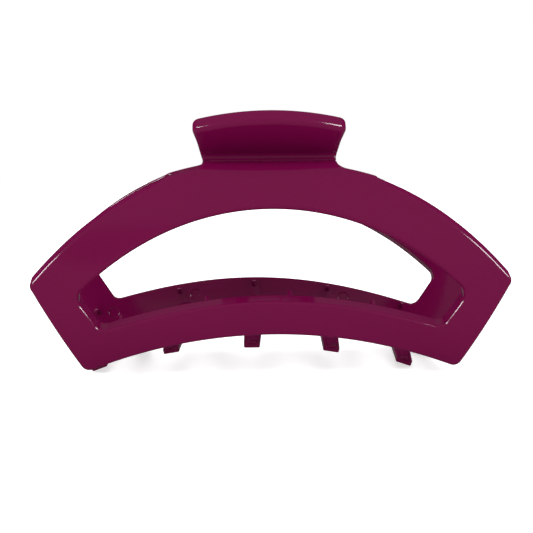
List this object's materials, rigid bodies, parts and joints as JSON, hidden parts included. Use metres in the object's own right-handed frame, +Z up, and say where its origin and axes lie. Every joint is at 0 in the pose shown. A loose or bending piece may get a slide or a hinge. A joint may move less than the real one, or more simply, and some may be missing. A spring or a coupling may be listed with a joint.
{
  "type": "hair clip",
  "caption": "Large open-frame claw hair clip: two arched jaws with long interleaving teeth and short prongs, hinged under splayed thumb paddles, sprung shut.",
  "frame": {"origin": "centre of the clip's footprint, on the surface that it stands on", "axes": "+X along the hinge and across the clip, -Y towards the front jaw, +Z up from the teeth to the paddles"},
  "size_m": [0.1192, 0.0548, 0.0659],
  "materials": {
    "plastic": "gloss, moulded, deep burgundy",
    "steel": "drawn wire, satin"
  },
  "bodies": {
    "front_jaw": {"front_jaw": "plastic", "hinge_pin": "steel", "spring": "steel"},
    "back_jaw": {"back_jaw": "plastic"}
  },
  "joints": [
    {"name": "hinge", "type": "hinge", "parent": "front_jaw", "child": "back_jaw", "pos_m": [0, 0, 0.05418], "axis": [1, 0, 0], "range_deg": [0, 70], "stiffness_Nm_per_rad": 0.25, "springref_deg": -34.38, "deforming": ["spring"]}
  ]
}
